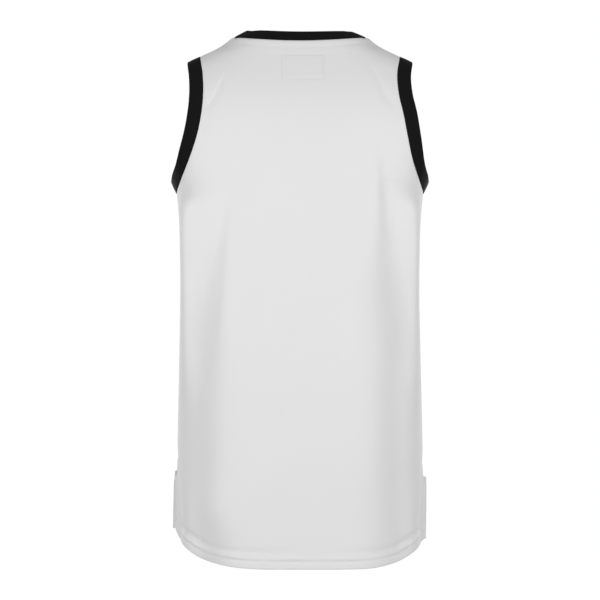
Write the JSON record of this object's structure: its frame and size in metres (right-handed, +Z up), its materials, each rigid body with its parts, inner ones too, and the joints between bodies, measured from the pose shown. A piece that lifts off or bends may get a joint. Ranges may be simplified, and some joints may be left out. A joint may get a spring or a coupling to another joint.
{
  "type": "tank top",
  "caption": "Sleeveless basketball-style top with contrasting neckband and armhole bands, side vents and a longer rounded tail, filled out as when it is worn.",
  "frame": {"origin": "midway between the two high points of the shoulders, where the wearer carries the garment", "axes": "+Z up, +X to the wearer's left, -Y to the wearer's front"},
  "size_m": [0.3778, 0.2408, 0.7769],
  "materials": {
    "body_cloth": "smooth matt knit",
    "band_knit": "matt rib knit",
    "label_tape": "smooth woven tape"
  },
  "bodies": {
    "root": {"back_panel": "body_cloth", "front_panel": "body_cloth", "neckband": "band_knit", "armhole_band_left": "band_knit", "armhole_band_right": "band_knit", "neck_label": "label_tape"}
  },
  "joints": []
}
